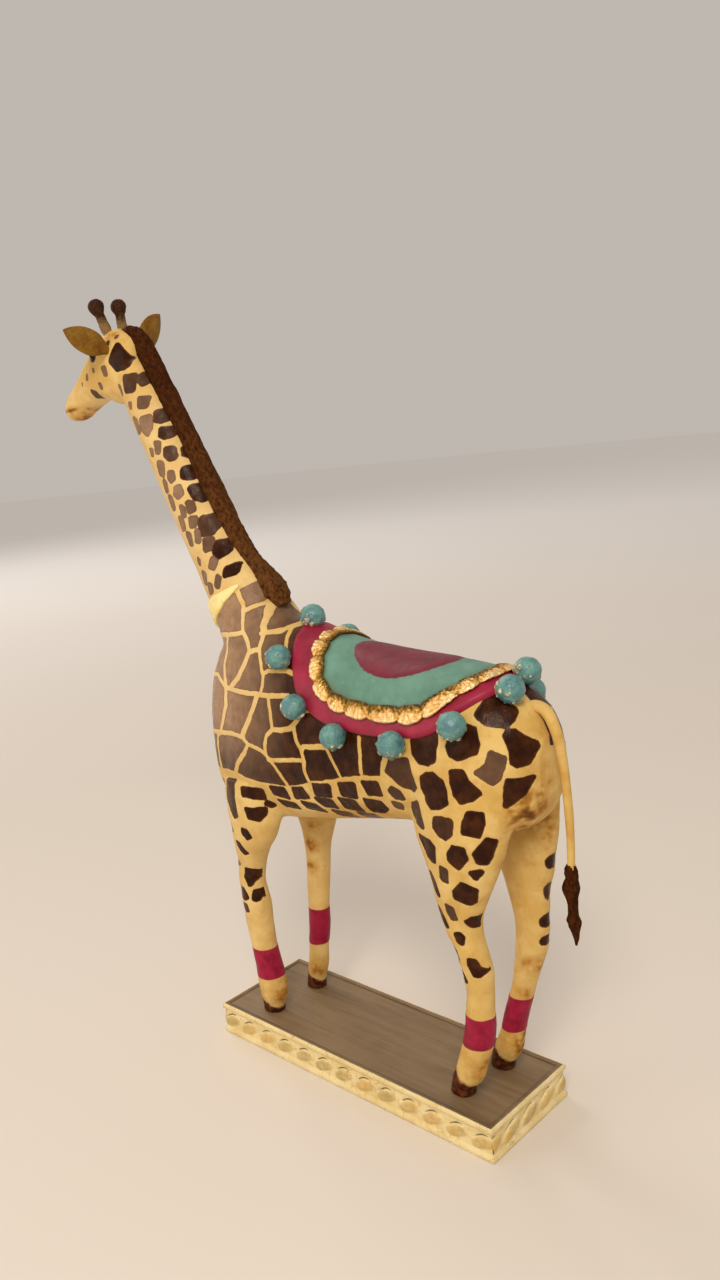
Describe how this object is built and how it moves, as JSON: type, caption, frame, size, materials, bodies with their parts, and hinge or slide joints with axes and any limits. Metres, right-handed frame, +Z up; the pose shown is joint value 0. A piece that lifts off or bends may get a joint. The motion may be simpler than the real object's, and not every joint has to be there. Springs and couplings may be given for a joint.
{
  "type": "painted giraffe statuette",
  "caption": "Standing giraffe figure with forward-leaning neck, saddle cloth edged with round beads, collar and hanging tail, fixed on a long moulded plinth.",
  "frame": {"origin": "centre of the plinth's flat underside", "axes": "+Z up; the giraffe faces -Y and its left side is +X"},
  "size_m": [0.0856, 0.3525, 0.4364],
  "materials": {
    "painted_body": "satin paint with gloss patches",
    "mane_paint": "matt textured paint",
    "horn_paint": "satin paint",
    "ear_paint": "satin paint",
    "collar_paint": "satin paint",
    "saddle_paint": "satin paint",
    "gold_braid": "metallic gold ribbon",
    "bead_glaze": "encrusted glaze",
    "plinth_board": "satin stain",
    "plinth_moulding": "aged cream paint",
    "bare_dowel": "bare",
    "screw_steel": "zinc plated"
  },
  "bodies": {
    "root": {"bead_front": "bead_glaze", "bead_left_1": "bead_glaze", "bead_left_2": "bead_glaze", "bead_left_3": "bead_glaze", "bead_left_4": "bead_glaze", "bead_left_5": "bead_glaze", "bead_left_rear": "bead_glaze", "bead_right_1": "bead_glaze", "bead_right_2": "bead_glaze", "bead_right_3": "bead_glaze", "bead_right_4": "bead_glaze", "bead_right_5": "bead_glaze", "bead_right_rear": "bead_glaze", "collar": "collar_paint", "front_left_foot_screw": "screw_steel", "front_left_leg": "painted_body", "front_left_leg_dowel": "bare_dowel", "front_right_foot_screw": "screw_steel", "front_right_leg": "painted_body", "front_right_leg_dowel": "bare_dowel", "gold_braid": "gold_braid", "head": "painted_body", "head_dowel": "bare_dowel", "left_ear": "ear_paint", "left_horn": "horn_paint", "mane": "mane_paint", "moulding_front": "plinth_moulding", "moulding_left": "plinth_moulding", "moulding_rear": "plinth_moulding", "moulding_right": "plinth_moulding", "neck": "painted_body", "neck_dowel": "bare_dowel", "plinth_board": "plinth_board", "rear_left_foot_screw": "screw_steel", "rear_left_leg": "painted_body", "rear_left_leg_dowel": "bare_dowel", "rear_right_foot_screw": "screw_steel", "rear_right_leg": "painted_body", "rear_right_leg_dowel": "bare_dowel", "right_ear": "ear_paint", "right_horn": "horn_paint", "saddle_cloth": "saddle_paint", "tail": "painted_body", "tail_tuft": "mane_paint", "torso": "painted_body"}
  },
  "joints": []
}
